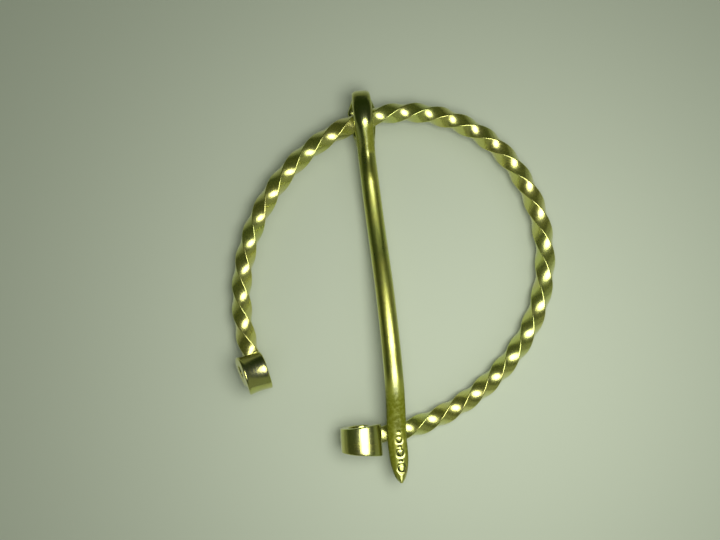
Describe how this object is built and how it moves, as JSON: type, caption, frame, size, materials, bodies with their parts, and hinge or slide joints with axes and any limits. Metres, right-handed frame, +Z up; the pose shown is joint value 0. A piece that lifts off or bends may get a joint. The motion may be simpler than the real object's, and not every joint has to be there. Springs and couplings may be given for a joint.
{
  "type": "penannular brooch",
  "caption": "Open ring brooch of twisted square bar with rolled coil ends, and a long pin whose looped head swings on the ring.",
  "frame": {"origin": "middle of the box's underside, on the surface that the brooch lies on", "axes": "+Z up from that surface, +Y along the pin from its tip towards its loop, +X to the right as seen from above"},
  "size_m": [0.0456, 0.0546, 0.0069],
  "materials": {
    "polished_brass": "polished, with darker tarnish in the hollows of the twist",
    "rubbed_brass": "satin, rubbed and finely scratched along the pin"
  },
  "bodies": {
    "hoop": {"hoop": "polished_brass"},
    "pin": {"pin": "rubbed_brass"}
  },
  "joints": [
    {"name": "pin_swing", "type": "hinge", "parent": "hoop", "child": "pin", "pos_m": [-0.00443, 0.02311, 0.00294], "axis": [-0.9379, -0.3469, -0.0027], "range_deg": [0, 350]}
  ]
}
